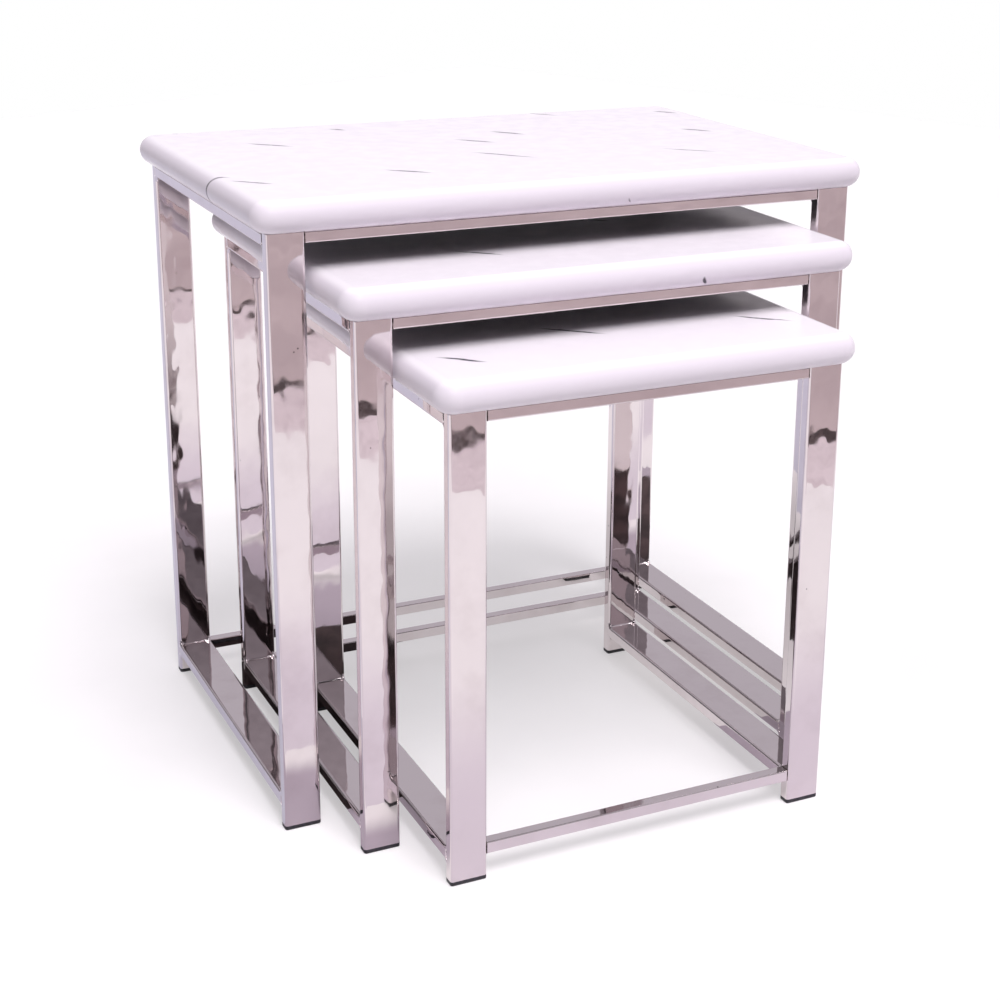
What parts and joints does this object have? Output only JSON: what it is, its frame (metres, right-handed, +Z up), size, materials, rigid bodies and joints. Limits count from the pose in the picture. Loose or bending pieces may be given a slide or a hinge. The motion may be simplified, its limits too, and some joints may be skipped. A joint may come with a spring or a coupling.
{
  "type": "nesting tables",
  "caption": "Nesting tables with white round-edged marble-look tops on polished flat-tube frames, drawn out in steps.",
  "frame": {"origin": "on the floor, in the middle of the box round the set as it stands drawn out", "axes": "+X along the long side, -Y to the front, where the tables are drawn out, +Z up"},
  "size_m": [0.6, 0.549, 0.58],
  "materials": {
    "white_marble": "polished, with short fine grey veins",
    "polished_steel": "mirror polished",
    "black_plastic": "moulded"
  },
  "bodies": {
    "large_table": {"large_top": "white_marble", "large_leg_front_left": "polished_steel", "large_leg_front_right": "polished_steel", "large_leg_back_left": "polished_steel", "large_leg_back_right": "polished_steel", "large_foot_front_left": "black_plastic", "large_foot_front_right": "black_plastic", "large_foot_back_left": "black_plastic", "large_foot_back_right": "black_plastic", "large_side_rail_upper_left": "polished_steel", "large_side_rail_upper_right": "polished_steel", "large_side_rail_lower_left": "polished_steel", "large_side_rail_lower_right": "polished_steel", "large_cross_rail_upper_front": "polished_steel", "large_cross_rail_upper_back": "polished_steel", "large_cross_rail_lower_back": "polished_steel"},
    "medium_table": {"medium_top": "white_marble", "medium_leg_front_left": "polished_steel", "medium_leg_front_right": "polished_steel", "medium_leg_back_left": "polished_steel", "medium_leg_back_right": "polished_steel", "medium_foot_front_left": "black_plastic", "medium_foot_front_right": "black_plastic", "medium_foot_back_left": "black_plastic", "medium_foot_back_right": "black_plastic", "medium_side_rail_upper_left": "polished_steel", "medium_side_rail_upper_right": "polished_steel", "medium_side_rail_lower_left": "polished_steel", "medium_side_rail_lower_right": "polished_steel", "medium_cross_rail_upper_front": "polished_steel", "medium_cross_rail_upper_back": "polished_steel", "medium_cross_rail_lower_back": "polished_steel"},
    "small_table": {"small_top": "white_marble", "small_leg_front_left": "polished_steel", "small_leg_front_right": "polished_steel", "small_leg_back_left": "polished_steel", "small_leg_back_right": "polished_steel", "small_foot_front_left": "black_plastic", "small_foot_front_right": "black_plastic", "small_foot_back_left": "black_plastic", "small_foot_back_right": "black_plastic", "small_side_rail_upper_left": "polished_steel", "small_side_rail_upper_right": "polished_steel", "small_side_rail_lower_left": "polished_steel", "small_side_rail_lower_right": "polished_steel", "small_cross_rail_upper_front": "polished_steel", "small_cross_rail_upper_back": "polished_steel", "small_cross_rail_lower_front": "polished_steel"}
  },
  "joints": [
    {"name": "medium_slide", "type": "slide", "parent": "large_table", "child": "medium_table", "axis": [0, -1, 0], "range_m": [-0.055, 0.35]},
    {"name": "small_slide", "type": "slide", "parent": "medium_table", "child": "small_table", "axis": [0, -1, 0], "range_m": [-0.068, 0.34]}
  ]
}
